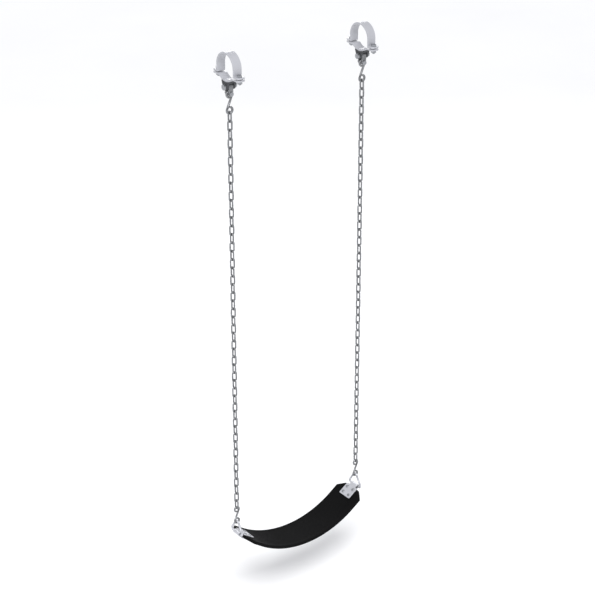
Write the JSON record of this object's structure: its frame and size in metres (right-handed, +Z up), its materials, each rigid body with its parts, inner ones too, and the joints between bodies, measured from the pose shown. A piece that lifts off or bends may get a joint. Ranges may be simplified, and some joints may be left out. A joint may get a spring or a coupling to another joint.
{
  "type": "belt swing seat",
  "caption": "Flexible belt swing seat hung on two link chains from pivoting clamps that grip a round overhead beam.",
  "frame": {"origin": "on the axis of the overhead beam, midway between the two clamp hangers", "axes": "+X along the beam, +Y to the back of the swing, +Z up"},
  "size_m": [0.614, 0.146, 1.9755],
  "materials": {
    "black_rubber": "moulded, matt, finely patterned",
    "spring_steel": "plain strip",
    "grey_paint": "smooth light grey coat",
    "dark_casting": "dark grey, fine sand texture",
    "zinc_fastener": "bright zinc",
    "bronze_bush": "plain, oiled",
    "galvanised": "hot-dip galvanised, mottled",
    "pale_plate": "pale grey, folded sheet"
  },
  "bodies": {
    "beam_clamps": {"left_upper_strap": "grey_paint", "left_lower_saddle": "grey_paint", "left_yoke": "dark_casting", "left_clamp_bolts": "zinc_fastener", "left_clamp_nuts": "zinc_fastener", "left_pivot_bolt": "zinc_fastener", "left_pivot_nut": "zinc_fastener", "left_pivot_bush": "bronze_bush", "right_upper_strap": "grey_paint", "right_lower_saddle": "grey_paint", "right_yoke": "dark_casting", "right_clamp_bolts": "zinc_fastener", "right_clamp_nuts": "zinc_fastener", "right_pivot_bolt": "zinc_fastener", "right_pivot_nut": "zinc_fastener", "right_pivot_bush": "bronze_bush"},
    "left_pendulum": {"left_clevis": "galvanised", "left_clevis_pin": "zinc_fastener", "left_clevis_nut": "zinc_fastener"},
    "right_pendulum": {"right_clevis": "galvanised", "right_clevis_pin": "zinc_fastener", "right_clevis_nut": "zinc_fastener"},
    "left_hanging_chain": {"left_upper_hook": "galvanised", "left_chain": "galvanised", "left_lower_hook": "galvanised", "left_ring": "pale_plate"},
    "right_hanging_chain": {"right_upper_hook": "galvanised", "right_chain": "galvanised", "right_lower_hook": "galvanised", "right_ring": "pale_plate"},
    "seat": {"belt_top": "black_rubber", "belt_bottom": "black_rubber", "belt_insert": "spring_steel", "left_end_plate": "pale_plate", "left_rivets": "zinc_fastener", "right_end_plate": "pale_plate", "right_rivets": "zinc_fastener"}
  },
  "joints": [
    {"name": "swing", "type": "hinge", "parent": "beam_clamps", "child": "left_pendulum", "pos_m": [0, 0, -0.068], "axis": [1, 0, 0], "range_deg": [-60, 60]},
    {"name": "right_swing", "type": "hinge", "parent": "beam_clamps", "child": "right_pendulum", "pos_m": [0, 0, -0.068], "axis": [1, 0, 0], "range_deg": [-60, 60]},
    {"name": "sway", "type": "hinge", "parent": "left_pendulum", "child": "left_hanging_chain", "pos_m": [-0.28, 0, -0.093], "axis": [0, 1, 0], "range_deg": [-6, 6]},
    {"name": "right_sway", "type": "hinge", "parent": "right_pendulum", "child": "right_hanging_chain", "pos_m": [0.28, 0, -0.093], "axis": [0, 1, 0], "range_deg": [-6, 6]},
    {"name": "seat_level", "type": "hinge", "parent": "left_hanging_chain", "child": "seat", "pos_m": [-0.28, 0, -1.805], "axis": [0, 1, 0], "range_deg": [-6, 6]}
  ],
  "couplings": [
    {"joint": "right_swing", "follows": "swing", "ratio": 1},
    {"joint": "right_sway", "follows": "sway", "ratio": 1},
    {"joint": "seat_level", "follows": "sway", "ratio": -1}
  ]
}
